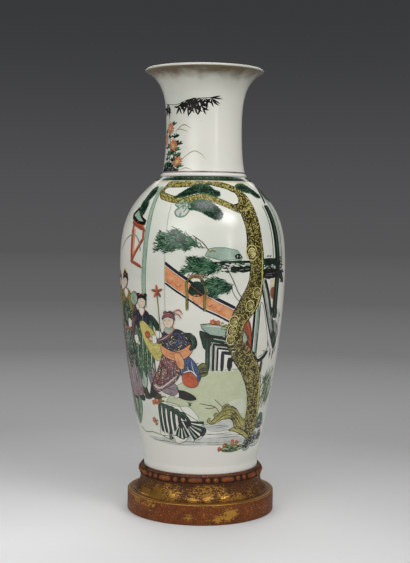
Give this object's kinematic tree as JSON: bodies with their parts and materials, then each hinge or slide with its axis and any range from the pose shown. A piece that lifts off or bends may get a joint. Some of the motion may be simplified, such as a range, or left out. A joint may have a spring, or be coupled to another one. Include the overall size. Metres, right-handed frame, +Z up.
{
  "type": "baluster vase",
  "caption": "Tall baluster vase of enamelled porcelain with a flared mouth, standing loose in the felt-lined well of a round turned and gilded wood stand.",
  "frame": {"origin": "centre of the stand's underside, on the surface that it rests on", "axes": "+Z up along the axis of the vase and the stand; -Y towards the painted scene's front"},
  "size_m": [0.2342, 0.2342, 0.6209],
  "materials": {
    "porcelain": "gloss",
    "enamel": "gloss",
    "rubbed_gilding": "satin",
    "gilded_wood": "satin",
    "felt": "matte",
    "baize": "matte",
    "steel": "satin"
  },
  "bodies": {
    "stand": {"base_baize": "baize", "plinth": "rubbed_gilding", "cavetto": "gilded_wood", "bead_and_reel_ring": "rubbed_gilding", "collar_ring": "rubbed_gilding", "screw_1": "steel", "screw_2": "steel", "screw_3": "steel", "screw_4": "steel"},
    "felt": {"well_felt": "felt"},
    "vase": {"vase": "porcelain"}
  },
  "joints": [
    {"name": "felt_turn", "type": "hinge", "parent": "stand", "child": "felt", "pos_m": [0, 0, 0.039], "axis": [0, 0, 1], "continuous": true},
    {"name": "vase_lift", "type": "slide", "parent": "felt", "child": "vase", "axis": [0, 0, 1], "range_m": [0, 0.06]}
  ]
}
